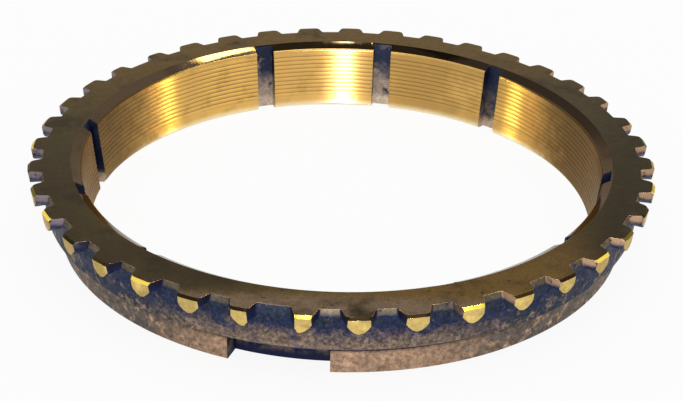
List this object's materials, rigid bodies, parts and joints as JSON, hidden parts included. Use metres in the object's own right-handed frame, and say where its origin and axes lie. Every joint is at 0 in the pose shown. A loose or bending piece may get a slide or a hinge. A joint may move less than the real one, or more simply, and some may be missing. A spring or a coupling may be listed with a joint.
{
  "type": "synchronizer ring",
  "caption": "Brass synchronizer blocker ring: pointed blocking teeth round the rim, a tapered friction bore with oil grooves inside, and key notches in the skirt.",
  "frame": {"origin": "centre of the ring, on the plane of the foot of the pads", "axes": "+Z along the ring's axis from the pads to the toothed face; -Y through the middle of one key notch"},
  "size_m": [0.092, 0.0919, 0.011],
  "materials": {
    "brass": "machined faces and cone over a rough cast skirt, darkened with age"
  },
  "bodies": {
    "root": {"synchronizer_ring": "brass"}
  },
  "joints": []
}
